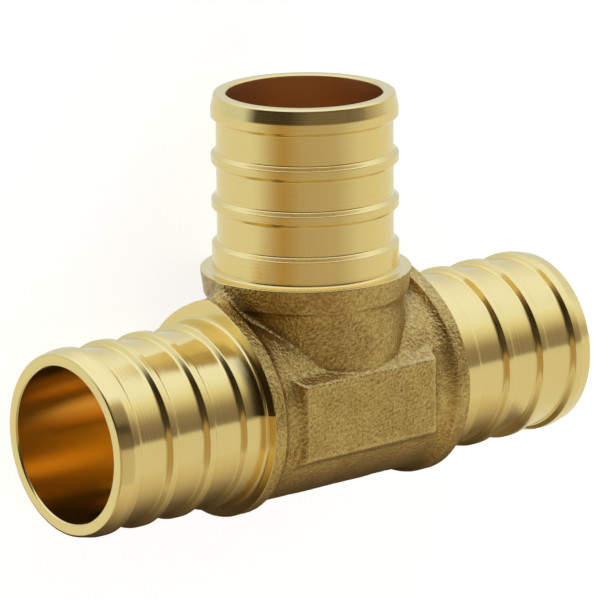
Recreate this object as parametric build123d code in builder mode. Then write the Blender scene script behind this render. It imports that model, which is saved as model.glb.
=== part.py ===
"""Brass crimp tee for 3/4 in PEX pipe: one casting with three machined barbs.

The run lies along X and the branch along +Y. The origin is where their axes cross.
The tee lies on its side, so it rests on its three collars, with the raised pad on top.
"""

import math
import os

from build123d import *

# Driving dimensions, in millimetres and degrees.

# Distance of the machined shoulders from the crossing of the axes.
run_shoulder = 12.0
branch_shoulder = 12.25

# Barbs, turned to the same form on all three ends. The wall is measured at the ribs.
barb_length = 17.0
rib_radius = 8.9
barb_wall = 1.5
mouth_chamfer = 0.3
groove_depth = 0.5
groove_count = 3
groove_end_length = 0.7
crest_width = 0.6
root_band_width = 2.4
root_radius = 0.35
nose_length = 1.4
nose_drop = 0.3
nose_edge_radius = 0.2
nose_land_width = 0.75

# Cast body between the shoulders: the body stands over the ribs, and the collars over the body.
body_rise = 0.45
junction_radius = 1.2
collar_rise = 0.77
collar_blend_radius = 1.5
collar_blend_sink = 0.05
run_collar_width = 1.4
branch_collar_width = 2.25
branch_collar_taper = 0.3
facing_allowance = 1.0

# Web that fills each corner between the branch and the run.
web_radius = 4.0
web_half_thickness = 3.0
web_draft = 40

# Raised marking pad on the top side, left plain. Its face stands over the body's crown.
pad_length = 16.0
pad_width = 7.3
pad_rise = 0.4
pad_corner_radius = 0.6
pad_draft = 25
pad_edge_radius = 0.25

# Derived sizes.
bore_radius = rib_radius - barb_wall
body_radius = rib_radius + body_rise
collar_radius = body_radius + collar_rise
pad_height = body_radius + pad_rise
groove_radius = rib_radius - groove_depth
nose_radius = rib_radius - nose_drop
end_lands = nose_length + nose_land_width + root_band_width
crest_total = (groove_count - 1) * crest_width
groove_width = (barb_length - end_lands - crest_total) / groove_count
run_tip = run_shoulder + barb_length
branch_tip = branch_shoulder + barb_length

# In the frame of each end, x is radial and y points outward along the end's axis.
run_frames = [
    Plane(origin=(0, 0, 0), x_dir=(0, 0, 1), z_dir=(0, 1, 0)),
    Plane(origin=(0, 0, 0), x_dir=(0, 0, 1), z_dir=(0, -1, 0)),
]
branch_frame = Plane(origin=(0, 0, 0), x_dir=(0, 0, 1), z_dir=(-1, 0, 0))


def draw_collar(shoulder, width, taper):
    """Draw a collar's half section in an end's frame, inside a BuildLine.

    The ring runs inward from the shoulder, and a concave arc takes it down into the body.
    It is cast longer than the shoulder by the facing allowance.
    """
    edge_radius = collar_radius - taper
    edge = shoulder - width
    foot_radius = body_radius - collar_blend_sink
    rise = edge_radius - foot_radius
    foot = edge - math.sqrt(rise * (2 * collar_blend_radius - rise))
    rim = (edge_radius, edge)
    stock = shoulder + facing_allowance
    Polyline((foot_radius, foot), (0, foot), (0, stock), (collar_radius, stock))
    Polyline((collar_radius, stock), (collar_radius, shoulder), rim)
    TangentArc((foot_radius, foot), rim, tangent=(0, 1))


def draw_groove(outer_edge):
    """Draw one groove from its outer edge inward, with a cove at each end."""
    inner_edge = outer_edge - groove_width
    floor_start = (groove_radius, outer_edge - groove_end_length)
    floor_end = (groove_radius, inner_edge + groove_end_length)
    TangentArc(floor_start, (rib_radius, outer_edge), tangent=(0, 1))
    Line(floor_start, floor_end)
    TangentArc(floor_end, (rib_radius, inner_edge), tangent=(0, -1))
    return inner_edge


def draw_barb(shoulder):
    """Draw a barb's half section in an end's frame, inside a BuildLine.

    Its core starts a little below the shoulder, inside the body that it joins.
    """
    core = shoulder - root_radius
    tip = shoulder + barb_length
    land = tip - nose_length
    edge = land - nose_land_width
    Polyline((0, core), (0, tip), (nose_radius, tip), (rib_radius, land), (rib_radius, edge))
    for groove in range(groove_count):
        edge = draw_groove(edge)
        if groove < groove_count - 1:
            Line((rib_radius, edge), (rib_radius, edge - crest_width))
            edge -= crest_width
    band_end = (rib_radius, shoulder + root_radius)
    root_end = (rib_radius + root_radius, shoulder)
    Line((rib_radius, edge), band_end)
    TangentArc(band_end, root_end, tangent=(0, -1))
    Polyline(root_end, (rib_radius + root_radius, core), (0, core))


with BuildPart() as tee_body:
    # Run and branch of the casting, blended along the seams where they cross.
    with BuildSketch(Plane.YZ):
        Circle(body_radius)
    extrude(amount=run_shoulder + facing_allowance, both=True)
    with BuildSketch(Plane.XZ):
        Circle(body_radius)
    extrude(amount=-(branch_shoulder + facing_allowance))
    seams = tee_body.edges().filter_by(GeomType.ELLIPSE)
    fillet(seams, radius=junction_radius)

    # Raised pad with drafted sides, standing on the run's crown.
    with BuildSketch(Plane.XY.offset(pad_height)):
        RectangleRounded(pad_length, pad_width, pad_corner_radius)
    extrude(amount=bore_radius - pad_height, taper=-pad_draft)
    pad_face = tee_body.faces().sort_by(Axis.Z)[-1]
    fillet(pad_face.edges(), radius=pad_edge_radius)

    # Collars.
    for frame in run_frames:
        with BuildSketch(frame):
            with BuildLine():
                draw_collar(run_shoulder, run_collar_width, 0)
            make_face()
        revolve(axis=Axis(frame.origin, frame.y_dir))
    with BuildSketch(branch_frame):
        with BuildLine():
            draw_collar(branch_shoulder, branch_collar_width, branch_collar_taper)
        make_face()
    revolve(axis=Axis.Y)

    # Drafted web in the two corners, reaching past the shoulders until they are faced.
    web_reach = collar_radius + web_radius
    with BuildSketch():
        with BuildLine():
            run_end = (web_reach, collar_radius)
            branch_end = (collar_radius, web_reach)
            Polyline(run_end, (web_reach, 0), (0, 0), (0, web_reach), branch_end)
            TangentArc(branch_end, run_end, tangent=(0, -1))
        make_face()
        mirror(about=Plane.YZ)
    extrude(amount=web_half_thickness, taper=web_draft, both=True)

    # The shoulders are faced off square to their bores.
    with Locations((0, branch_shoulder, 0)):
        Box(
            2 * run_shoulder,
            branch_shoulder + 2 * collar_radius,
            4 * collar_radius,
            align=(Align.CENTER, Align.MAX, Align.CENTER),
            mode=Mode.INTERSECT,
        )

    # Barbs.
    for frame in run_frames:
        with BuildSketch(frame):
            with BuildLine():
                draw_barb(run_shoulder)
            make_face()
        revolve(axis=Axis(frame.origin, frame.y_dir))
    with BuildSketch(branch_frame):
        with BuildLine():
            draw_barb(branch_shoulder)
        make_face()
    revolve(axis=Axis.Y)
    circles = tee_body.edges().filter_by(GeomType.CIRCLE)
    nose_edges = circles.filter_by(lambda edge: math.isclose(edge.radius, nose_radius, abs_tol=1e-6))
    fillet(nose_edges, radius=nose_edge_radius)

    # Bores through the run and down the branch, with broken edges at the mouths.
    with BuildSketch(Plane.YZ):
        Circle(bore_radius)
    extrude(amount=run_tip, both=True, mode=Mode.SUBTRACT)
    with BuildSketch(Plane.XZ):
        Circle(bore_radius)
    extrude(amount=-branch_tip, mode=Mode.SUBTRACT)
    circles = tee_body.edges().filter_by(GeomType.CIRCLE)
    mouths = circles.filter_by(lambda edge: math.isclose(edge.radius, bore_radius, abs_tol=1e-6))
    chamfer(mouths, length=mouth_chamfer)

tee_body.part.label = "tee_body"
os.makedirs("parts", exist_ok=True)
export_step(tee_body.part, "parts/tee_body.step")
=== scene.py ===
"""Looks of the brass crimp tee: a sand-cast body with three turned barbs.

The run lies along X and the branch along +Y, and their axes cross at the origin. Every form is
worked out in millimetres and put into its mesh in metres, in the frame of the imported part.
"""
import logging
import math
from dataclasses import dataclass, field
from enum import Enum, IntEnum

import bpy
import numpy as np
from mathutils import Matrix


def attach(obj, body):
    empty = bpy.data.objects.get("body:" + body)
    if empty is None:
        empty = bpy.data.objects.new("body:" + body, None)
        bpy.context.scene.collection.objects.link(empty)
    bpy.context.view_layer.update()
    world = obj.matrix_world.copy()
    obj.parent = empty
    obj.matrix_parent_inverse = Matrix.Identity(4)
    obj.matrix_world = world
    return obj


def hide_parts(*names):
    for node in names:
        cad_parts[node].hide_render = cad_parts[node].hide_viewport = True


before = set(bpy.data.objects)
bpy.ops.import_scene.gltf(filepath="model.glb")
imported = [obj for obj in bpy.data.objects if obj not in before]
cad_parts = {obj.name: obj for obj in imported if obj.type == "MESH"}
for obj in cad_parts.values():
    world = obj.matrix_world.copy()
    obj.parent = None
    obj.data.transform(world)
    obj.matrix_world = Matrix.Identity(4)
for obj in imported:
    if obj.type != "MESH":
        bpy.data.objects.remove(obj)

log = logging.getLogger("tee")

Array = np.ndarray
Pair = tuple[float, float]
Triple = tuple[float, float, float]
Socket = bpy.types.NodeSocket
Material = bpy.types.Material

METRE = 0.001
NODE = "tee_body"

# Lengths in millimetres, or shares, too small to matter.
NEAR = 0.01
THIN = 1e-6
TINY = 1e-9

# Whole numbers that mix a cell's indices and a seed into one 32-bit word.
WORD = 0xFFFFFFFF
CELL_MIX = np.array([374761393, 668265263, 1440662683], np.int64)
SEED_MIX = 69069
LAST_MIX = np.int64(1274126177)

# Steps of the sum from which crowded samples are read.
SUM_STEPS = 4000


# ---------------- small numeric tools


def smoothstep(value: Array, low: float, high: float) -> Array:
    """Rise from 0 to 1 as value goes from low to high, as 3 t^2 - 2 t^3."""
    t = np.clip((value - low) / (high - low), 0.0, 1.0)
    return t * t * (3.0 - 2.0 * t)


def smooth_min(a: Array, b: Array, width: Array | float) -> Array:
    """The smaller of two distances, rounded where they differ by less than width.

    It is min(a, b) - w t^2 / 4 with t = max(w - |a - b|, 0) / w.
    """
    width = np.maximum(width, THIN)
    t = np.maximum(width - np.abs(a - b), 0.0) / width
    return np.minimum(a, b) - 0.25 * width * t * t


def smooth_max(a: Array, b: Array, width: float) -> Array:
    """The larger of two distances, rounded where they differ by less than width."""
    return -smooth_min(-a, -b, width)


def lattice_value(cell: Array, seed: int) -> Array:
    """A fixed number from -1 to 1 for each whole-number cell, by mixing its three indices."""
    mixed = ((cell * CELL_MIX).sum(-1) + seed * SEED_MIX) & WORD
    mixed = ((mixed ^ (mixed >> 13)) * LAST_MIX) & WORD
    mixed = mixed ^ (mixed >> 16)
    return mixed / (WORD / 2) - 1.0


def noise(points: Array, grain: float, seed: int) -> Array:
    """Smooth value noise from -1 to 1 at points, with cells of side grain.

    Each cell corner has a fixed value, and a point blends its eight corners with 3 t^2 - 2 t^3.
    """
    scaled = points / grain
    cell = np.floor(scaled).astype(np.int64)
    t = scaled - cell
    t = t * t * (3.0 - 2.0 * t)
    total = np.zeros(points.shape[:-1])
    for corner in np.ndindex(2, 2, 2):
        weight = np.where(corner, t, 1 - t).prod(-1)
        total += weight * lattice_value(cell + np.array(corner), seed)
    return total


def spread(start: float, end: float, count: int, crowd: Triple) -> Array:
    """Samples from start to end that stand closer together near a crowded place.

    Args:
        start: First sample.
        end: Last sample.
        count: How many samples.
        crowd: (place, reach, strength) of the crowded place.

    Returns:
        Samples at equal steps of the integral of 1 + strength exp(-((s - place) / reach)^2).
    """
    place, reach, strength = crowd
    fine = np.linspace(start, end, SUM_STEPS + 1)
    density = 1.0 + strength * np.exp(-(((fine - place) / reach) ** 2))
    total = np.concatenate([[0.0], np.cumsum((density[1:] + density[:-1]) / 2)])
    return np.interp(np.linspace(0.0, total[-1], count), total, fine)


def unit(vectors: Array) -> Array:
    """The vectors, each made one long."""
    return vectors / np.maximum(np.linalg.norm(vectors, axis=-1, keepdims=True), TINY)


# ---------------- meshes


@dataclass
class Shell:
    """Gathers grids of points that share their borders and welds them into one closed mesh."""

    weld_step: float = 1e-4
    points: list[Array] = field(default_factory=list)
    quads: list[Array] = field(default_factory=list)
    finishes: list[Array] = field(default_factory=list)
    hollows: list[Array] = field(default_factory=list)

    def add(
        self, grid: Array, finish: int = 0, flip: bool = False, hollow: Array | None = None
    ) -> None:
        """Add a grid of shape (rows, columns, 3) in millimetres.

        Args:
            grid: The points. Its faces look along (row step) x (column step).
            finish: Index of the material of its faces.
            flip: Turns its faces the other way.
            hollow: How deep in a hollow each point lies, or below 0 on a ridge.
        """
        rows, columns = grid.shape[:2]
        offset = sum(len(p) for p in self.points)
        index = offset + np.arange(rows * columns).reshape(rows, columns)
        quad = np.stack([index[:-1, :-1], index[1:, :-1], index[1:, 1:], index[:-1, 1:]], -1)
        quad = quad.reshape(-1, 4)
        self.points.append(grid.reshape(-1, 3))
        self.hollows.append(np.zeros(rows * columns) if hollow is None else hollow.reshape(-1))
        self.quads.append(quad[:, ::-1] if flip else quad)
        self.finishes.append(np.full(len(quad), finish))

    def build(self, name: str, materials: list[Material], sharp: float) -> bpy.types.Object:
        """Weld the grids, drop faces that have shrunk to a line, and make the object.

        Args:
            name: Name of the piece.
            materials: One for each finish index.
            sharp: Angle in degrees from which an edge is shaded as an edge.

        Returns:
            The piece, at the origin, unturned and unscaled.
        """
        points = np.concatenate(self.points)
        keys = np.round(points / self.weld_step).astype(np.int64)
        _, first, inverse = np.unique(keys, axis=0, return_index=True, return_inverse=True)
        points = points[first]
        quads = inverse.reshape(-1)[np.concatenate(self.quads)]
        finishes = np.concatenate(self.finishes)
        same = quads == np.roll(quads, -1, axis=1)
        whole = ~same.any(axis=1)
        faces = quads[whole].tolist()
        kept = finishes[whole].tolist()
        for quad, repeats, finish in zip(quads[~whole], same[~whole], finishes[~whole]):
            corners = quad[~repeats].tolist()
            if len(set(corners)) == 3:
                faces.append(corners)
                kept.append(int(finish))
        mesh = bpy.data.meshes.new(name)
        mesh.from_pydata((points * METRE).tolist(), [], faces)
        for material in materials:
            mesh.materials.append(material)
        mesh.polygons.foreach_set("material_index", np.array(kept, np.int32))
        hollow = mesh.attributes.new("hollow", "FLOAT", "POINT")
        hollow.data.foreach_set("value", np.concatenate(self.hollows)[first].astype(np.float32))
        mesh.shade_smooth()
        mesh.set_sharp_from_angle(angle=math.radians(sharp))
        mesh.update()
        piece = bpy.data.objects.new(name, mesh)
        bpy.context.scene.collection.objects.link(piece)
        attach(piece, "root")
        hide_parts(NODE)
        log.info("%s: %d points, %d faces", name, len(points), len(faces))
        return piece


# ---------------- sizes shared by the pieces


class Axis(Enum):
    """The axis about which a piece was turned."""

    RUN = 0
    BRANCH = 1


@dataclass(frozen=True)
class TeeSizes:
    """Sizes in millimetres that more than one piece needs."""

    bore: float = 7.4
    run_shoulder: float = 12.0
    branch_shoulder: float = 12.25
    barb_length: float = 17.0
    rib: float = 8.9
    root_fillet: float = 0.35
    body: float = 9.35
    collar: float = 10.12

    def shoulder(self, axis: Axis) -> float:
        """Distance of an axis's shoulders from the middle."""
        return self.run_shoulder if axis is Axis.RUN else self.branch_shoulder

    def root(self) -> float:
        """Radius at which a barb's root fillet meets its shoulder."""
        return self.rib + self.root_fillet


# ---------------- finishes


class Tree:
    """Shorthand for building a node tree."""

    def __init__(self, tree: bpy.types.NodeTree, empty: bool = False) -> None:
        """Take the tree that new nodes go into, and clear it if it is to start empty."""
        self.tree = tree
        self.nodes = tree.nodes
        if empty:
            self.nodes.clear()

    def node(self, kind: str, **settings: object) -> bpy.types.Node:
        """Make a node of a kind and give it its settings."""
        made = self.nodes.new("ShaderNode" + kind)
        for key, value in settings.items():
            setattr(made, key, value)
        return made

    def feed(self, socket: Socket, value: object) -> None:
        """Link a socket to another's output, or set its number or its opaque colour."""
        if isinstance(value, Socket):
            self.tree.links.new(value, socket)
        else:
            socket.default_value = (*value, 1.0) if isinstance(value, tuple) else value

    def math(self, operation: str, first: object, second: object = 0.0) -> Socket:
        """A Math node's result."""
        made = self.node("Math", operation=operation)
        self.feed(made.inputs[0], first)
        self.feed(made.inputs[1], second)
        return made.outputs[0]

    def plus(self, first: object, second: object, share: float) -> Socket:
        """The first value plus a share of the second."""
        return self.math("ADD", first, self.math("MULTIPLY", second, share))

    def length(self, first: object, second: object) -> Socket:
        """The square root of the sum of two squares."""
        squares = [self.math("MULTIPLY", value, value) for value in (first, second)]
        return self.math("SQRT", self.math("ADD", *squares))

    def parts(self, vector: object) -> tuple[Socket, ...]:
        """The x, y and z of a vector."""
        made = self.node("SeparateXYZ")
        self.feed(made.inputs[0], vector)
        return tuple(made.outputs)

    def grain(self, vector: object, scale: float, detail: float, rough: float) -> Socket:
        """A Noise texture's value at a vector."""
        made = self.node("TexNoise")
        self.feed(made.inputs["Vector"], vector)
        made.inputs["Scale"].default_value = scale
        made.inputs["Detail"].default_value = detail
        made.inputs["Roughness"].default_value = rough
        return made.outputs["Fac"]

    def spans(
        self, value: object, low: float, high: float, to_low: float, to_high: float,
        how: str = "LINEAR",
    ) -> Socket:
        """Map value from low..high to to_low..to_high, held at the ends."""
        made = self.node("MapRange", interpolation_type=how)
        self.feed(made.inputs["Value"], value)
        ends = {"From Min": low, "From Max": high, "To Min": to_low, "To Max": to_high}
        for key, number in ends.items():
            made.inputs[key].default_value = number
        return made.outputs["Result"]

    def swing(self, grain: object, to_low: float, to_high: float) -> Socket:
        """Map a Noise texture's usual range, 0.3 to 0.7, to to_low..to_high."""
        return self.spans(grain, 0.3, 0.7, to_low, to_high)

    def blend(self, share: object, first: object, second: object, how: str = "MIX") -> Socket:
        """Mix two colours by a share."""
        made = self.node("Mix", data_type="RGBA", blend_type=how)
        self.feed(made.inputs[0], share)
        self.feed(made.inputs[6], first)
        self.feed(made.inputs[7], second)
        return made.outputs[2]

    def ramp(self, value: object, stops: list[tuple[float, Triple]]) -> Socket:
        """A colour that goes through stops as value goes from 0 to 1."""
        made = self.node("ValToRGB")
        self.feed(made.inputs[0], value)
        elements = made.color_ramp.elements
        while len(elements) < len(stops):
            elements.new(0.5)
        for element, (place, color) in zip(elements, stops):
            element.position = place
            element.color = (*color, 1.0)
        return made.outputs[0]

    def bump(self, height: object, distance: float, under: object = None) -> Socket:
        """A Bump node's normal at full strength, on top of another one if it is given."""
        made = self.node("Bump")
        self.feed(made.inputs["Height"], height)
        made.inputs["Distance"].default_value = distance
        made.inputs["Strength"].default_value = 1.0
        if under is not None:
            self.feed(made.inputs["Normal"], under)
        return made.outputs["Normal"]


class Surface(Tree):
    """The node tree of a piece's material, with its Principled surface and object coordinates."""

    def __init__(self, name: str) -> None:
        """Make a metal material of that name."""
        self.material = bpy.data.materials.new(name)
        self.material.use_nodes = True
        super().__init__(self.material.node_tree)
        self.sockets = self.nodes["Principled BSDF"].inputs
        self.sockets["Metallic"].default_value = 1.0
        self.coordinates = self.node("TexCoord").outputs["Object"]


@dataclass(frozen=True)
class TurnedBrass:
    """Bright brass off the lathe, with fine cutting lines and highlights stretched across them."""

    axis: Axis
    color: Triple = (0.90, 0.71, 0.29)
    worn_share: float = 0.94
    roughness: float = 0.17
    roughness_swing: float = 0.03
    anisotropy: float = 0.6
    anisotropy_turn: float = 0.25
    line_scale: float = 7000.0
    line_depth: float = 3e-6
    wide_line: float = 1.6
    wide_depth: float = 4.0
    face_share: float = 0.35

    def material(self) -> Material:
        """Make the material.

        The cutting lines are noise of the place along the axis plus a share of the distance
        from it, so they run round barrels and round faces alike. Wider, deeper lines lie under
        the fine ones.
        """
        s = Surface(f"turned_brass_{self.axis.name.lower()}")
        x, y, z = s.parts(s.coordinates)
        along, across = (x, y) if self.axis is Axis.RUN else (y, x)
        rings = s.node("CombineXYZ")
        s.feed(rings.inputs[0], s.plus(along, s.length(across, z), self.face_share))
        fine = s.grain(rings.outputs[0], self.line_scale, 3.0, 0.6)
        wide = s.grain(rings.outputs[0], self.line_scale / self.wide_line, 2.0, 0.6)
        worn = tuple(self.worn_share * c for c in self.color)
        color = s.blend(s.swing(wide, 0.0, 1.0), worn, self.color)
        s.feed(s.sockets["Base Color"], color)
        smooth, dull = self.roughness - self.roughness_swing, self.roughness + self.roughness_swing
        s.feed(s.sockets["Roughness"], s.swing(wide, smooth, dull))
        s.sockets["Anisotropic"].default_value = self.anisotropy
        s.sockets["Anisotropic Rotation"].default_value = self.anisotropy_turn
        tangent = s.node("Tangent", direction_type="RADIAL", axis="XY"[self.axis.value])
        s.feed(s.sockets["Tangent"], tangent.outputs[0])
        lines = s.bump(wide, self.wide_depth * self.line_depth, s.bump(fine, self.line_depth))
        s.feed(s.sockets["Normal"], lines)
        return s.material


@dataclass(frozen=True)
class CastBrass:
    """Sand-cast brass: dull, grainy, browner in its pits and brighter on its grains."""

    pit: Triple = (0.36, 0.22, 0.062)
    skin: Triple = (0.68, 0.495, 0.165)
    # Pale brass for ridges: part wear, part painted highlight.
    rubbed_highlight: Triple = (0.90, 0.72, 0.33)
    # Dark brown for hollows: painted shade.
    painted_shade: Triple = (0.16, 0.095, 0.035)
    grain_scale: float = 3500.0
    grain_depth: float = 1.15e-4
    grain_roughness: Pair = (0.38, 0.27)
    patch_size: float = 9.0
    ridges: Pair = (-0.45, -0.06)
    ridge_share: float = 0.55
    hollows: Pair = (0.10, 0.6)
    hollow_share: float = 0.75

    def material(self) -> Material:
        """Make the material: grains over patches of tone, worn ridges with painted highlight, and
        painted shade in hollows.
        """
        s = Surface("cast_brass")
        grains = s.grain(s.coordinates, self.grain_scale, 2.0, 0.5)
        patches = s.grain(s.coordinates, self.grain_scale / self.patch_size, 3.0, 0.5)
        share = s.math("ADD", s.swing(grains, 0.0, 0.8), s.swing(patches, -0.1, 0.3))
        tone = s.blend(s.spans(share, 0.0, 1.0, 0.0, 1.0), self.pit, self.skin)
        hollow = s.node("Attribute", attribute_name="hollow").outputs["Fac"]
        # Painted highlight: ridges are lifted toward pale brass, part rubbed wear and part the
        # light they catch.
        on_ridge = s.spans(hollow, *self.ridges, self.ridge_share, 0.0)
        tone = s.blend(on_ridge, tone, self.rubbed_highlight)
        # Painted shade: hollows are darkened toward dark brown, as occlusion would shade them.
        shade_share = s.spans(hollow, *self.hollows, 0.0, self.hollow_share)
        s.feed(s.sockets["Base Color"], s.blend(shade_share, tone, self.painted_shade))
        s.feed(s.sockets["Roughness"], s.swing(grains, *self.grain_roughness))
        s.feed(s.sockets["Normal"], s.bump(grains, self.grain_depth))
        return s.material


@dataclass(frozen=True)
class BoredBrass:
    """The drilled water way: bright brass, seen deep in its own reflections."""

    axis: Axis
    color: Triple = (0.97, 0.73, 0.27)
    roughness: float = 0.2

    def material(self) -> Material:
        """Make the material."""
        s = Surface(f"bored_brass_{self.axis.name.lower()}")
        s.feed(s.sockets["Base Color"], self.color)
        s.sockets["Roughness"].default_value = self.roughness
        return s.material


# ---------------- the cast body


class Finish(IntEnum):
    """Which of the casting's materials a face has."""

    CAST = 0
    TURNED_RUN = 1
    TURNED_BRANCH = 2
    BORED = 3


class Corner(Enum):
    """A corner between the branch and the run, by the sign of the run's end."""

    RIGHT = 1.0
    LEFT = -1.0


@dataclass
class CastBody:
    """The casting between the three shoulders, with its collars, corner webs, pad and water way.

    A point's distance from the skin is the smooth minimum of its distances from the run, the
    branch, the webs and the pad. A plain layout of two crossing cylinders is pushed out to it.
    Collar widths and tapers are the run's and the branch's. Spans are (start, end), and relief
    holds the (height, cell, seed) of the sand and the waves.
    """

    sizes: TeeSizes
    junction: float = 0.35
    girth: float = 10.06
    collar_widths: Pair = (1.4, 2.25)
    collar_tapers: Pair = (0.0, 0.3)
    collar_blend: float = 1.5
    collar_swells: tuple[Pair, ...] = ((0.2, 30.0), (0.6, 14.0))
    web_radius: float = 4.0
    web_slope: float = 1.4
    web_round: float = 0.8
    web_half: float = 3.3
    web_blend: float = 1.0
    web_fade: float = 0.5
    web_fade_span: Pair = (10.6, 12.2)
    pad_half_length: float = 8.0
    pad_half_width: float = 3.65
    pad_top: float = 9.75
    pad_draft: float = 25.0
    pad_edge: float = 0.22
    pad_foot: float = 0.25
    edge_break: float = 0.05
    break_rings: Pair = (1.0, 1.6)
    root_rings: Pair = (0.2, -0.1)
    relief: tuple[tuple[float, float, int], ...] = (
        (0.0182, 0.36, 3), (0.0098, 0.198, 11), (0.04, 3.1, 21), (0.02, 1.3, 22),
    )
    calm_share: float = 0.6
    calm_start: float = 0.4
    calm_length: float = 0.35
    mitre_reach: float = 2.6
    upright_x: Pair = (9.2, 10.8)
    upright_y: Pair = (4.8, 7.0)
    highest_skin: float = 3.6
    lowest_skin: float = -0.05
    search_step: float = 0.08
    halvings: int = 14
    hollow_steps: tuple[float, ...] = (0.5, 0.9, 1.5, 2.4)
    ridge_steps: tuple[float, ...] = (0.3, 0.6, 1.0)
    rows: int = 173
    wall_crowd: Triple = (0.3, 4.0, 0.9)
    splits: Pair = (7.5, 7.9)
    skin_columns: tuple[int, int] = (46, 32)
    bore_columns: tuple[int, int] = (8, 4)
    sharp: float = 60.0

    def radius(self, s: Array, axis: Axis) -> Array:
        """Radius at distance s from the middle along an axis.

        Before the collar's foot it is the body's. From the foot to the collar's edge it is
        body + b - sqrt(b^2 - (s - foot)^2), and past the edge it widens evenly to the girth.
        """
        end, low = self.sizes.shoulder(axis), self.girth - self.collar_tapers[axis.value]
        edge = end - self.collar_widths[axis.value]
        rise = low - self.sizes.body
        foot = edge - math.sqrt(rise * (2.0 * self.collar_blend - rise))
        t = np.clip(s - foot, 0.0, edge - foot)
        arc = self.sizes.body + self.collar_blend - np.sqrt(self.collar_blend**2 - t**2)
        ring = low + (self.girth - low) * np.clip((s - edge) / (end - edge), 0.0, 1.0)
        return np.where(s < edge, arc, ring)

    def distance(self, p: Array) -> Array:
        """Distance of points from the skin, negative inside, as the class says.

        Collars swell by sum(most exp(-(angle / width)^2)), with the angle from the branch's side.
        """
        x, y, z = p[..., 0], p[..., 1], p[..., 2]
        from_run, from_branch = np.hypot(y, z), np.hypot(x, z)
        angle = np.degrees(np.arccos(np.clip(y / np.maximum(from_run, TINY), -1.0, 1.0)))
        edge = self.sizes.run_shoulder - self.collar_widths[Axis.RUN.value]
        swell = sum(most * np.exp(-((angle / width) ** 2)) for most, width in self.collar_swells)
        swell = swell * smoothstep(np.abs(x), edge - self.collar_blend, edge)
        run = from_run - self.radius(np.abs(x), Axis.RUN) - swell
        branch = np.maximum(from_branch - self.radius(y, Axis.BRANCH), -y)
        facing = np.clip(z * z / np.maximum(from_run * from_branch, TINY), 0.0, 1.0)
        half = np.sqrt((1.0 + facing) / 2.0)
        skin = smooth_min(run, branch, 4.0 * self.junction * (1.0 - half))
        centre = self.sizes.collar + self.web_radius
        reach = self.web_radius + self.web_slope * (np.hypot(z, self.web_round) - self.web_round)
        reach = reach + self.web_fade * smoothstep(np.maximum(y, np.abs(x)), *self.web_fade_span)
        web = reach - np.hypot(centre - np.abs(x), centre - y)
        web = np.maximum(np.maximum(web, np.abs(z) - self.web_half), -y)
        skin = smooth_min(skin, web, self.web_blend)
        lean = math.tan(math.radians(self.pad_draft))
        upright = math.cos(math.radians(self.pad_draft))
        flare = (self.pad_top - z) * lean
        side = (np.abs(y) - self.pad_half_width - flare) * upright
        end = (np.abs(x) - self.pad_half_length - flare) * upright
        pad = smooth_max(smooth_max(side, end, self.pad_edge), z - self.pad_top, self.pad_edge)
        pad = np.maximum(pad, self.sizes.bore - z)
        return smooth_min(skin, pad, self.pad_foot)

    def outward(self, p: Array, patch_run: bool) -> Array:
        """The way in which a layout point is pushed.

        It is square to its own cylinder, turns halfway to the other one at the mitre, and
        stands upright under the pad, so that the pad's steep walls get their share of points.
        """
        x, y, z = p[..., 0], p[..., 1], p[..., 2]
        none = np.zeros_like(x)
        if patch_run:
            own = np.stack([none, y, z], -1)
            other = np.stack([np.sign(x) * np.maximum(y, 0.0), none, z], -1)
            gap = np.where(y > 0, np.abs(x) - y, np.inf)
        else:
            own = np.stack([x, none, z], -1)
            other = np.stack([none, np.abs(x), z], -1)
            gap = y - np.abs(x)
        share = 0.5 * smoothstep(-gap, -self.mitre_reach, 0.0)[..., None]
        way = unit(own * (1 - share) + other * share)
        over_pad = (z > 0).astype(float)
        for place, (inner, outer) in ((y, self.upright_y), (x, self.upright_x)):
            over_pad = over_pad * smoothstep(-np.abs(place), -outer, -inner)
        over_pad = over_pad[..., None]
        return unit(way * (1 - over_pad) + np.array([0.0, 0.0, 1.0]) * over_pad)

    def gradient(self, skin: Array, nudge: float) -> Array:
        """The way in which the distance grows fastest, from its change over a nudge each way."""
        steps = nudge * np.eye(3)
        change = [self.distance(skin + step) - self.distance(skin - step) for step in steps]
        return unit(np.stack(change, -1))

    def pushed(self, p: Array, patch_run: bool) -> Array:
        """Push layout points out to the skin and add the casting's waves and sand grain.

        The outermost place on each line where the distance changes sign is found in steps and
        then halved down. The relief moves the skin along the distance's gradient, less next to
        the shoulders, and no point leaves the collars' box.
        """
        way = self.outward(p, patch_run)
        low = np.full(p.shape[:-1], self.lowest_skin)
        found = np.zeros(p.shape[:-1], bool)
        for height in np.arange(self.highest_skin, self.lowest_skin, -self.search_step):
            inside = self.distance(p + way * height) < 0
            low = np.where(inside & ~found, height, low)
            found |= inside
        high = low + self.search_step
        for _ in range(self.halvings):
            middle = (low + high) / 2
            inside = self.distance(p + way * middle[..., None]) < 0
            low, high = np.where(inside, middle, low), np.where(inside, high, middle)
        skin = p + way * low[..., None]
        height = sum(high * noise(skin, cell, seed) for high, cell, seed in self.relief)
        run_edge = np.abs(skin[..., 0]) - self.sizes.run_shoulder + self.calm_start
        branch_edge = skin[..., 1] - self.sizes.branch_shoulder + self.calm_start
        edge = np.maximum(run_edge, branch_edge)
        calm = 1 - self.calm_share * smoothstep(edge, 0.0, self.calm_length)
        shift = (height * calm)[..., None] * self.gradient(skin, nudge=0.02)
        for axis in Axis:
            i = axis.value
            at_end = np.abs(np.abs(p[..., i]) - self.skin_end(axis)) < THIN
            shift[..., i] = np.where(at_end, 0.0, shift[..., i])
        skin = skin + shift
        skin[..., 1] = np.maximum(skin[..., 1], -self.sizes.collar)
        skin[..., 2] = np.clip(skin[..., 2], -self.sizes.collar, self.sizes.collar)
        return skin

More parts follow.
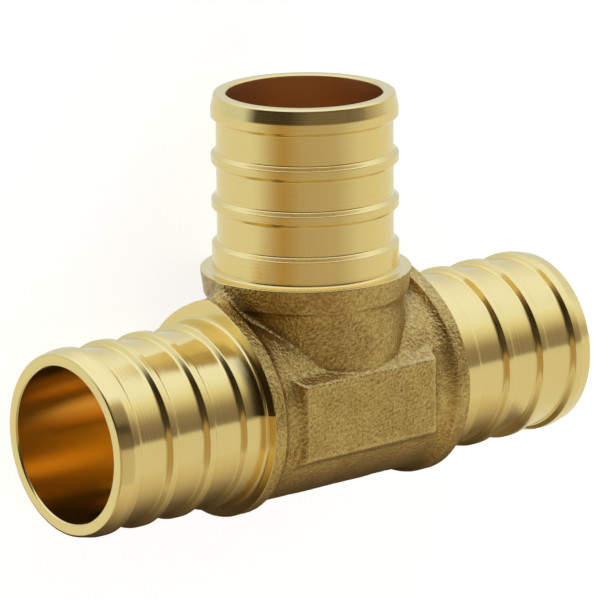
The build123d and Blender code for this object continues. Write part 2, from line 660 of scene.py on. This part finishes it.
    def hollow(self, skin: Array) -> Array:
        """How deep in a hollow each skin point lies, from 0 to 1, or below 0 on a ridge.

        A step h off the skin, open ground is h away, and a step h under it is h deep. A hollow
        is the mean of 1 - distance / h over a few steps, and a ridge that of 1 + distance / h.
        """
        slope = self.gradient(skin, nudge=0.05)
        lost = [1 - self.distance(skin + slope * h) / h for h in self.hollow_steps]
        on_ridge = [1 + self.distance(skin - slope * h) / h for h in self.ridge_steps]
        return np.clip(np.mean(lost, axis=0), 0.0, 1.0) - np.clip(np.mean(on_ridge, axis=0), 0.0, 1.0)

    def skin_end(self, axis: Axis) -> float:
        """Where the skin stops short of an axis's shoulders, at the broken edge."""
        return self.sizes.shoulder(axis) - self.edge_break

    def angles(self, start: float) -> Array:
        """Angles of a patch's rows, from start on for half a turn, closer at the pad's wall.

        Args:
            start: -90 degrees for a corner patch, and 90 for the lower one.

        Returns:
            The angles in radians.
        """
        past, reach, strength = self.wall_crowd
        wall = math.degrees(math.asin((self.pad_half_width + past) / self.sizes.body))
        wall = 90.0 - wall if start < 0 else 90.0 + wall
        return np.radians(spread(start, start + 180.0, self.rows, (wall, reach, strength)))

    def columns(self, mitre: Array, end: float, split: float, counts: tuple[int, int]) -> Array:
        """Places from the mitre to an end, for each row.

        Args:
            mitre: Where each row starts.
            end: Where all rows end.
            split: Where the closer columns of the collar's zone start on a long row.
            counts: Columns before and after the split.

        Returns:
            Places of shape (rows, columns). A row that starts near the split divides its length
            in half instead.
        """
        split = np.maximum(split, (mitre + end) / 2)
        middle, last = (np.linspace(0, 1, count + 1)[None, :] for count in counts)
        first = mitre[:, None] + (split - mitre)[:, None] * middle
        second = split[:, None] + (end - split)[:, None] * last[:, 1:]
        return np.concatenate([first, second], axis=1)

    def corner(self, radius: float, ends: Pair, counts: tuple[int, int]) -> tuple[Array, Array]:
        """Lay out a corner on two crossing cylinders of one radius.

        The run's part is (x, R cos t, R sin t) with x from R cos t outward, and the branch's part
        is (R cos t, y, R sin t) with y from R cos t outward, so they meet on the plane x = y.

        Args:
            radius: R, in millimetres.
            ends: Where the run's part and the branch's part end.
            counts: Columns before and after the split.

        Returns:
            The run's grid and the branch's grid, on the +X side.
        """
        t = self.angles(-90.0)
        across, height = radius * np.cos(t), radius * np.sin(t)
        across[[0, -1]] = 0.0
        x, y = (self.columns(across, end, split, counts) for end, split in zip(ends, self.splits))
        wide, tall = across[:, None] + 0 * x, height[:, None] + 0 * x
        return np.stack([x, wide, tall], -1), np.stack([wide, y, tall], -1)

    def lower(self, radius: float, end: float, counts: tuple[int, int]) -> Array:
        """Lay out the run's half away from the branch: (x, R cos t, R sin t), t from 90 to 270."""
        t = self.angles(90.0)
        y, z = radius * np.cos(t), radius * np.sin(t)
        y[[0, -1]] = 0.0
        half = self.columns(np.zeros(self.rows), end, self.splits[0], counts)
        x = np.concatenate([-half[:, :0:-1], half], axis=1)
        return np.stack([x, y[:, None] + 0 * x, z[:, None] + 0 * x], -1)

    def shoulder(
        self, shell: Shell, rim: Array, mouth: Array, axis: Axis, sign: float = 1.0
    ) -> None:
        """Face a shoulder: a broken edge, the faced ring, and on inward to the bore.

        Args:
            shell: Where the face goes.
            rim: The skin's last ring of points, all the way round.
            mouth: The bore's last ring of points, in the same order.
            axis: The shoulder's axis.
            sign: Which end of the axis, 1 or -1.
        """
        on_run = axis is Axis.RUN
        centre = np.zeros_like(rim)
        centre[:, axis.value] = sign * self.sizes.shoulder(axis)
        spoke = rim - centre
        spoke[:, axis.value] = 0.0
        length = np.linalg.norm(spoke, axis=1, keepdims=True)
        spoke = unit(spoke)
        radii = [length - share * self.edge_break for share in self.break_rings]
        radii += [self.sizes.root() + past for past in self.root_rings]
        rings = [rim, *[centre + spoke * radius for radius in radii], mouth]
        finish = Finish.TURNED_RUN if on_run else Finish.TURNED_BRANCH
        shell.add(np.stack(rings, axis=1), finish, flip=(sign > 0) != on_run)

    def build(self, finishes: dict[Finish, Material]) -> bpy.types.Object:
        """Make the casting, welded from its skin, its bores and its three shoulders.

        Args:
            finishes: A material for each finish.

        Returns:
            The piece.
        """
        shell = Shell()
        skin_ends = tuple(self.skin_end(axis) for axis in Axis)
        bore_ends = tuple(self.sizes.shoulder(axis) for axis in Axis)
        run, branch = self.corner(self.sizes.body, skin_ends, self.skin_columns)
        run_bore, branch_bore = self.corner(self.sizes.bore, bore_ends, self.bore_columns)
        low = self.pushed(self.lower(self.sizes.body, skin_ends[0], self.skin_columns), True)
        low_bore = self.lower(self.sizes.bore, bore_ends[0], self.bore_columns)
        shell.add(low, Finish.CAST, hollow=self.hollow(low))
        shell.add(low_bore, Finish.BORED, flip=True)
        rims, mouths = {}, {}
        for corner in Corner:
            side, turned = np.array([corner.value, 1.0, 1.0]), corner is Corner.LEFT
            run_skin = self.pushed(run * side, True)
            branch_skin = self.pushed(branch * side, False)
            shell.add(run_skin, Finish.CAST, flip=turned, hollow=self.hollow(run_skin))
            shell.add(branch_skin, Finish.CAST, flip=not turned, hollow=self.hollow(branch_skin))
            shell.add(run_bore * side, Finish.BORED, flip=not turned)
            shell.add(branch_bore * side, Finish.BORED, flip=turned)
            rims[corner] = (run_skin[:, -1], branch_skin[:, -1])
            mouths[corner] = (run_bore[:, -1] * side, branch_bore[:, -1] * side)
            last = 0 if turned else -1
            rim = np.concatenate([rims[corner][0], low[1:, last]])
            mouth = np.concatenate([mouths[corner][0], low_bore[1:, last]])
            self.shoulder(shell, rim, mouth, Axis.RUN, corner.value)
        rim, mouth = (
            np.concatenate([rings[Corner.RIGHT][1], rings[Corner.LEFT][1][-2::-1]])
            for rings in (rims, mouths)
        )
        self.shoulder(shell, rim, mouth, Axis.BRANCH)
        return shell.build("cast_body", [finishes[finish] for finish in Finish], self.sharp)


# ---------------- the turned barbs


@dataclass
class Barb:
    """A turned barb: root band, three grooves between sharp crests, and a coned nose."""

    name: str
    sizes: TeeSizes
    axis: Axis
    sign: float = 1.0
    groove_depth: float = 0.5
    groove_width: float = 3.6
    ramp_angle: float = 55.0
    ramp_round: float = 0.22
    crest_width: float = 0.75
    grooves: int = 3
    root_band: float = 2.475
    nose_length: float = 1.4
    nose_drop: float = 0.3
    nose_edge: tuple[Pair, ...] = ((0.16, 0.03), (0.05, -0.06), (0.0, -0.2))
    mouth_bevel: float = 0.3
    mouth_depth: float = 1.2
    edge_round: float = 0.045
    pitch: float = 0.01
    longest_step: float = 0.2
    largest_turn: float = 9.0
    arc_points: int = 20
    fillet_points: int = 8
    bore_rings: int = 8
    around: int = 256
    sharp: float = 40.0

    def ramp(self, crest: float, toward: float) -> Array:
        """A ramp from a groove's floor up to a crest: an arc of radius R, then its tangent.

        The arc is (R sin a, R (1 - cos a)) with a from 0 to the ramp's angle, and the tangent
        takes it on to the rib radius.

        Args:
            crest: Place of the crest's edge.
            toward: The way from the groove to the crest, 1 or -1.

        Returns:
            Points as (distance from the shoulder, radius), from the floor up.
        """
        steep = math.radians(self.ramp_angle)
        a = np.linspace(0, steep, self.arc_points)
        s, h = self.ramp_round * np.sin(a), self.ramp_round * (1 - np.cos(a))
        last = s[-1] + (self.groove_depth - h[-1]) / math.tan(steep)
        s, h = np.append(s, last), np.append(h, self.groove_depth)
        return np.stack([crest + toward * (s - last), self.sizes.rib - self.groove_depth + h], -1)

    def outline(self) -> Array:
        """The profile as (distance from the shoulder, radius), from the root into the mouth.

        The root fillet is a quarter circle, and nose_edge holds points that round the nose off,
        each as (distance back from the tip, height over the nose's radius).
        """
        rib, cove = self.sizes.rib, self.sizes.root_fillet
        turn = np.linspace(0, math.pi / 2, self.fillet_points)
        parts = [np.stack([cove - cove * np.cos(turn), rib + cove - cove * np.sin(turn)], -1)]
        place = self.root_band
        for _ in range(self.grooves):
            end = place + self.groove_width
            parts += [self.ramp(place, -1.0)[::-1], self.ramp(end, 1.0)]
            place = end + self.crest_width
        tip = self.sizes.barb_length
        nose = rib - self.nose_drop
        edge = [[tip - back, nose + over] for back, over in self.nose_edge]
        bevel, bore = self.mouth_bevel, self.sizes.bore
        mouth = [[tip, bore + bevel], [tip - bevel, bore], [tip - self.mouth_depth, bore]]
        return np.concatenate([*parts, [[tip - self.nose_length, rib], *edge, *mouth]])

    def softened(self, outline: Array) -> Array:
        """Break the outline's corners and place its points where it turns.

        It is sampled finely, averaged with weights exp(-(s / e)^2), and sampled again at equal
        steps of length / longest step + turn / largest turn.
        """
        steps = np.linalg.norm(np.diff(outline, axis=0), axis=1)
        along = np.concatenate([[0.0], np.cumsum(steps)])
        fine_along = np.arange(0.0, along[-1], self.pitch)
        fine = np.stack([np.interp(fine_along, along, outline[:, i]) for i in (0, 1)], -1)
        reach = int(3 * self.edge_round / self.pitch)
        weights = np.exp(-((np.arange(-reach, reach + 1) * self.pitch / self.edge_round) ** 2))
        weights /= weights.sum()
        padded = np.concatenate([
            2 * fine[0] - fine[reach:0:-1],
            fine,
            2 * fine[-1] - fine[-2 : -reach - 2 : -1],
        ])
        soft = np.stack([np.convolve(padded[:, i], weights, "valid") for i in (0, 1)], -1)
        heading = np.unwrap(np.arctan2(*np.diff(soft, axis=0).T[::-1]))
        turn = np.abs(np.diff(heading, prepend=heading[0]))
        length = np.linalg.norm(np.diff(soft, axis=0), axis=1)
        steps = length / self.longest_step + turn / math.radians(self.largest_turn)
        measure = np.concatenate([[0.0], np.cumsum(steps)])
        wanted = np.linspace(0.0, measure[-1], int(measure[-1]) + 1)
        return np.stack([np.interp(wanted, measure, soft[:, i]) for i in (0, 1)], -1)

    def placed(self, profile: Array) -> Array:
        """Carry a profile round the axis: (s, r) becomes s along the axis and r (cos t, sin t)."""
        t = np.linspace(0, 2 * math.pi, self.around + 1)
        t[-1] = 0.0
        along = self.sign * (self.sizes.shoulder(self.axis) + profile[:, 0])[:, None] + 0 * t
        across = profile[:, 1][:, None] * np.cos(t)
        height = profile[:, 1][:, None] * np.sin(t)
        order = (along, across, height) if self.axis is Axis.RUN else (across, along, height)
        return np.stack(order, -1)

    def build(self, turned: Material, bored: Material) -> bpy.types.Object:
        """Make the barb, closed by its bore and by a ring at the shoulder.

        Args:
            turned: Material of the outside.
            bored: Material of the bore.

        Returns:
            The piece.
        """
        bore, root = self.sizes.bore, self.sizes.root()
        outside = self.softened(self.outline())
        outside[0] = (0.0, root)
        lip = int(np.flatnonzero(outside[:, 1] > bore + NEAR)[-1]) + 1
        outside[-1, 1] = bore
        depths = np.linspace(outside[-1, 0], 0.0, self.bore_rings + 1)[1:]
        deep = np.stack([depths, np.full(self.bore_rings, bore)], -1)
        inside = np.concatenate([outside[lip:], deep])
        shell = Shell()
        flip = (self.sign > 0) == (self.axis is Axis.RUN)
        shell.add(self.placed(outside[: lip + 1]), 0, flip)
        shell.add(self.placed(inside), 1, flip)
        shell.add(self.placed(np.array([[0.0, bore], [0.0, root]])), 0, flip)
        return shell.build(self.name, [turned, bored], self.sharp)


# ---------------- studio


@dataclass
class Studio:
    """A white floor, soft light from all round, and the camera.

    The floor's and the flag's sizes are in millimetres, except the floor's half side, which is
    in metres like the camera's place and the card.
    """

    floor_drop: float = 10.12
    floor_half: float = 4.0
    camera_place: Triple = (-0.29043, 0.12883, 0.35377)
    camera_right: Triple = (0.77221, -0.00892, 0.63533)
    camera_up: Triple = (0.16775, 0.96731, -0.19031)
    lens: float = 298.09
    sensor: float = 36.0
    paint: float = 0.5
    lift: float = 0.82
    card_x: Pair = (-0.031, 0.0265)
    card_y: float = -0.0107
    card_z: Pair = (-0.026, 0.019)
    card_opening: Pair = (0.013, 0.023)
    flag_reach: float = 12.03
    flag_radii: Pair = (8.95, 11.4)
    flag_angles: Pair = (9.8, 62.0)
    flag_fade: Pair = (26.0, 0.9)
    flag_share: float = 0.93
    flag_color: Triple = (0.016, 0.010, 0.007)
    flag_steps: int = 23

    def placed(
        self, name: str, points: list[Triple], faces: list[tuple[int, ...]]
    ) -> tuple[bpy.types.Object, Tree]:
        """Put a flat object in the scene with an empty material.

        Args:
            name: Name of the object, its mesh and its material.
            points: Its points, in metres.
            faces: Its faces, as places in the list of points.

        Returns:
            The object, and its material's node tree.
        """
        mesh = bpy.data.meshes.new(name)
        mesh.from_pydata(points, [], faces)
        made = bpy.data.objects.new(name, mesh)
        bpy.context.scene.collection.objects.link(made)
        material = bpy.data.materials.new(name)
        material.use_nodes = True
        mesh.materials.append(material)
        return made, Tree(material.node_tree, empty=True)

    def floor(self) -> None:
        """A square floor that looks white and keeps the soft shadow.

        It stays out of the brass's reflections, which see the room below it instead.
        """
        h, z = self.floor_half, -self.floor_drop * METRE
        corners = [(-h, -h, z), (h, -h, z), (h, h, z), (-h, h, z)]
        floor, tree = self.placed("floor", corners, [(0, 1, 2, 3)])
        floor.visible_glossy = False
        paint = tree.node("BsdfDiffuse")
        tree.feed(paint.inputs["Color"], (self.paint, self.paint, self.paint))
        lift = tree.node("Emission")
        seen = tree.node("LightPath").outputs["Is Camera Ray"]
        tree.feed(lift.inputs["Strength"], tree.math("MULTIPLY", seen, self.lift))
        both = tree.node("AddShader")
        tree.feed(both.inputs[0], paint.outputs[0])
        tree.feed(both.inputs[1], lift.outputs[0])
        tree.feed(tree.node("OutputMaterial").inputs[0], both.outputs[0])

    def card(self) -> None:
        """A card under the run that only reflections see, in place of the tee's own shadow.

        It is dark below the tee, and paler in front and towards +X.
        """
        (left, right), y, (far, near) = self.card_x, self.card_y, self.card_z
        corners = [(left, y, far), (right, y, far), (right, y, near), (left, y, near)]
        card, tree = self.placed("card", corners, [(0, 1, 2, 3)])
        card.visible_camera = card.visible_diffuse = card.visible_shadow = False
        x, _, z = tree.parts(tree.node("TexCoord").outputs["Object"])
        depth = tree.ramp(tree.spans(z, far, near, 0.0, 1.0), [
            (0.0, (0.60, 0.58, 0.52)),
            (0.30, (0.10, 0.075, 0.05)),
            (0.60, (0.06, 0.042, 0.026)),
            (0.68, (0.13, 0.10, 0.068)),
            (0.73, (0.28, 0.23, 0.17)),
            (0.79, (0.50, 0.44, 0.34)),
            (0.87, (0.66, 0.60, 0.48)),
            (1.0, (0.73, 0.70, 0.60)),
        ])
        open_end = tree.spans(x, *self.card_opening, 0.0, 1.0, "SMOOTHSTEP")
        opened = tree.blend(open_end, (0.0, 0.0, 0.0), (0.20, 0.15, 0.078))
        glow = tree.node("Emission")
        tree.feed(glow.inputs["Color"], tree.blend(1.0, depth, opened, "LIGHTEN"))
        tree.feed(tree.node("OutputMaterial").inputs[0], glow.outputs[0])

    def flag(self) -> None:
        """A dark sliver before the left shoulder that only reflections see.

        The corner between the shoulder and the barb mirrors the dark room twice, and this
        stands in for it. It is a flat piece of a ring, (x, r sin a, r cos a), and fades out
        over its last degrees and its last millimetre.
        """
        (inner, outer), (low, high) = self.flag_radii, self.flag_angles
        r = np.array([[inner], [outer]]) * METRE
        a = np.radians(np.linspace(low, high, self.flag_steps + 1))[None, :]
        x = np.full((2, self.flag_steps + 1), -self.flag_reach * METRE)
        points = np.stack([x, r * np.sin(a), r * np.cos(a)], -1).reshape(-1, 3)
        i = np.arange(self.flag_steps)
        beyond = i + self.flag_steps + 1
        faces = np.stack([i, i + 1, beyond + 1, beyond], -1)
        flag, tree = self.placed("flag", points.tolist(), faces.tolist())
        flag.visible_camera = flag.visible_diffuse = flag.visible_shadow = False
        _, y, z = tree.parts(tree.node("TexCoord").outputs["Object"])
        turn_fade, rim_fade = self.flag_fade
        turned = tree.math("ARCTAN2", y, z)
        fade_start = math.radians(high - turn_fade)
        share = tree.spans(turned, fade_start, math.radians(high), self.flag_share, 0.0)
        rim = tree.spans(tree.length(y, z), (outer - rim_fade) * METRE, outer * METRE, 1.0, 0.0)
        glow = tree.node("Emission")
        tree.feed(glow.inputs["Color"], self.flag_color)
        both = tree.node("MixShader")
        tree.feed(both.inputs[0], tree.math("MULTIPLY", share, rim))
        tree.feed(both.inputs[1], tree.node("BsdfTransparent").outputs[0])
        tree.feed(both.inputs[2], glow.outputs[0])
        tree.feed(tree.node("OutputMaterial").inputs[0], both.outputs[0])

    def light(self) -> None:
        """Soft light from a plain room, told apart by the way each ray looks.

        The -Y half is a pale table. The +Y half is dim in front, where the camera stands, and
        opens into a wide softbox overhead and to the +X side, and is a bright sweep behind. The
        softbox is read at 0.8 (y + 0.95 max(x - 0.2, 0)) and dimmed towards -X. The sweep
        begins where z - 0.3 x - 1.8 max(y - 0.5, 0) falls below a narrow band near 0.
        """
        world = bpy.data.worlds.new("studio")
        bpy.context.scene.world = world
        world.use_nodes = True
        tree = Tree(world.node_tree, empty=True)
        x, y, z = tree.parts(tree.node("TexCoord").outputs["Generated"])
        aside = tree.math("MAXIMUM", tree.math("ADD", x, -0.2), 0.0)
        softbox = tree.ramp(tree.math("MULTIPLY", tree.plus(y, aside, 0.95), 0.8), [
            (0.0, (0.18, 0.15, 0.125)),
            (0.20, (0.18, 0.15, 0.12)),
            (0.27, (0.08, 0.063, 0.047)),
            (0.34, (0.045, 0.035, 0.025)),
            (0.43, (0.24, 0.20, 0.17)),
            (0.57, (0.34, 0.28, 0.23)),
            (0.66, (0.62, 0.58, 0.46)),
            (0.73, (0.82, 0.82, 0.70)),
            (0.83, (0.97, 1.06, 1.16)),
            (0.92, (1.02, 1.17, 1.5)),
        ])
        low = tree.ramp(x, [
            (0.2, (0.0, 0.0, 0.0)),
            (0.35, (0.17, 0.14, 0.12)),
            (0.6, (0.21, 0.175, 0.15)),
            (0.66, (0.33, 0.28, 0.24)),
            (0.9, (0.53, 0.5, 0.45)),
        ])
        softbox = tree.blend(1.0, softbox, low, "LIGHTEN")
        softbox = tree.blend(1.0, softbox, tree.spans(x, -0.84, -0.54, 0.26, 1.0), "MULTIPLY")
        sweep = tree.ramp(y, [
            (0.0, (0.68, 0.76, 0.85)),
            (0.45, (0.76, 0.82, 0.90)),
            (0.66, (0.93, 1.02, 1.20)),
            (0.8, (1.02, 1.14, 1.5)),
        ])
        high = tree.math("MAXIMUM", tree.math("ADD", y, -0.5), 0.0)
        behind = tree.plus(tree.plus(z, x, -0.3), high, -1.8)
        above = tree.blend(tree.spans(behind, -0.22, 0.08, 0.0, 1.0), sweep, softbox)
        table = tree.ramp(tree.spans(x, -1.0, 1.0, 0.0, 1.0), [
            (0.05, (0.46, 0.32, 0.13)),
            (0.16, (0.51, 0.435, 0.32)),
            (0.52, (0.55, 0.49, 0.40)),
            (0.78, (0.73, 0.73, 0.66)),
            (1.0, (0.80, 0.80, 0.72)),
        ])
        before = tree.spans(z, -0.4, 0.4, 0.0, 1.0, "SMOOTHSTEP")
        below = tree.blend(before, (0.80, 0.82, 0.80), table)
        room = tree.blend(tree.spans(y, -0.012, 0.012, 0.0, 1.0), below, above)
        seen = tree.blend(tree.node("LightPath").outputs["Is Camera Ray"], room, (1.0, 1.0, 1.0))
        background = tree.node("Background")
        tree.feed(background.inputs["Color"], seen)
        tree.feed(tree.node("OutputWorld").inputs[0], background.outputs[0])

    def camera(self) -> None:
        """A long lens that looks down on the tee, with the branch upright in its view."""
        data = bpy.data.cameras.new("camera")
        data.lens = self.lens
        data.sensor_width = self.sensor
        camera = bpy.data.objects.new("camera", data)
        bpy.context.scene.collection.objects.link(camera)
        right, up = np.array(self.camera_right), np.array(self.camera_up)
        turn = np.eye(4)
        turn[:3, 0], turn[:3, 1], turn[:3, 2] = right, up, np.cross(right, up)
        turn[:3, 3] = self.camera_place
        camera.matrix_world = Matrix(turn.tolist())
        bpy.context.scene.camera = camera

    def build(self) -> None:
        """Set up the floor, the light, the camera and the plain view transform."""
        self.floor()
        self.card()
        self.flag()
        self.light()
        self.camera()
        bpy.context.scene.view_settings.view_transform = "Standard"


def main() -> None:
    """Build the pieces in order, then the studio."""
    logging.basicConfig(level=logging.INFO, format="%(message)s")
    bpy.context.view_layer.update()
    sizes = TeeSizes()
    turned = {axis: TurnedBrass(axis).material() for axis in Axis}
    bored = {
        Axis.RUN: BoredBrass(Axis.RUN).material(),
        Axis.BRANCH: BoredBrass(Axis.BRANCH, color=(0.97, 0.62, 0.30), roughness=0.32).material(),
    }
    CastBody(sizes).build({
        Finish.CAST: CastBrass().material(),
        Finish.TURNED_RUN: turned[Axis.RUN],
        Finish.TURNED_BRANCH: turned[Axis.BRANCH],
        Finish.BORED: bored[Axis.RUN],
    })
    barbs = [
        Barb("left_barb", sizes, Axis.RUN, -1.0, mouth_bevel=0.15),
        Barb("right_barb", sizes, Axis.RUN),
        Barb("branch_barb", sizes, Axis.BRANCH, mouth_bevel=0.15),
    ]
    for barb in barbs:
        barb.build(turned[barb.axis], bored[barb.axis])
    Studio().build()


if __name__ == "__main__":
    main()
